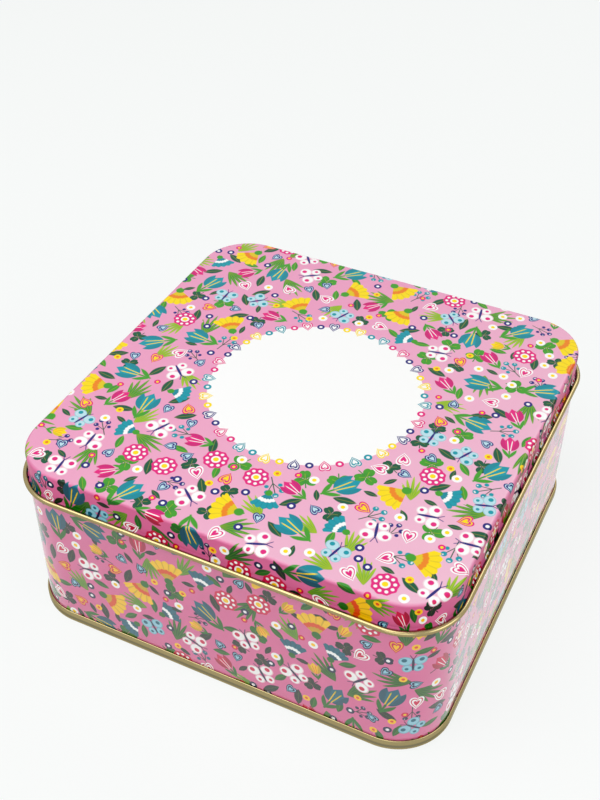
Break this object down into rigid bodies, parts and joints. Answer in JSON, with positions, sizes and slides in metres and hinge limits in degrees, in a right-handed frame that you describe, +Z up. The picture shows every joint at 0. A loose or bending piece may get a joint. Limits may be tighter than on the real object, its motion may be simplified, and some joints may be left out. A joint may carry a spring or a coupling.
{
  "type": "tin box",
  "caption": "Square printed tin box with rounded corners, a slip-on lid rolled to a bead at its foot and a double-seamed bottom, for keeping papers and keepsakes.",
  "frame": {"origin": "under the middle of the box, on the surface that it stands on", "axes": "+Z up, -Y the front, +X to the right as seen from the front; the lock seam is at the middle of +Y"},
  "size_m": [0.2, 0.2, 0.088],
  "materials": {
    "printed_wall": "printed tinplate under gloss varnish, gold lacquer inside and on the rolled rim",
    "gold_lacquer": "tinplate with clear gold lacquer",
    "printed_lid": "printed tinplate under gloss varnish, gold lacquer inside and on the bead"
  },
  "bodies": {
    "box": {"body_wall": "printed_wall", "bottom_plate": "gold_lacquer"},
    "lid": {"lid": "printed_lid"}
  },
  "joints": [
    {"name": "lid_lift", "type": "slide", "parent": "box", "child": "lid", "axis": [0, 0, 1], "range_m": [0, 0.15]}
  ]
}
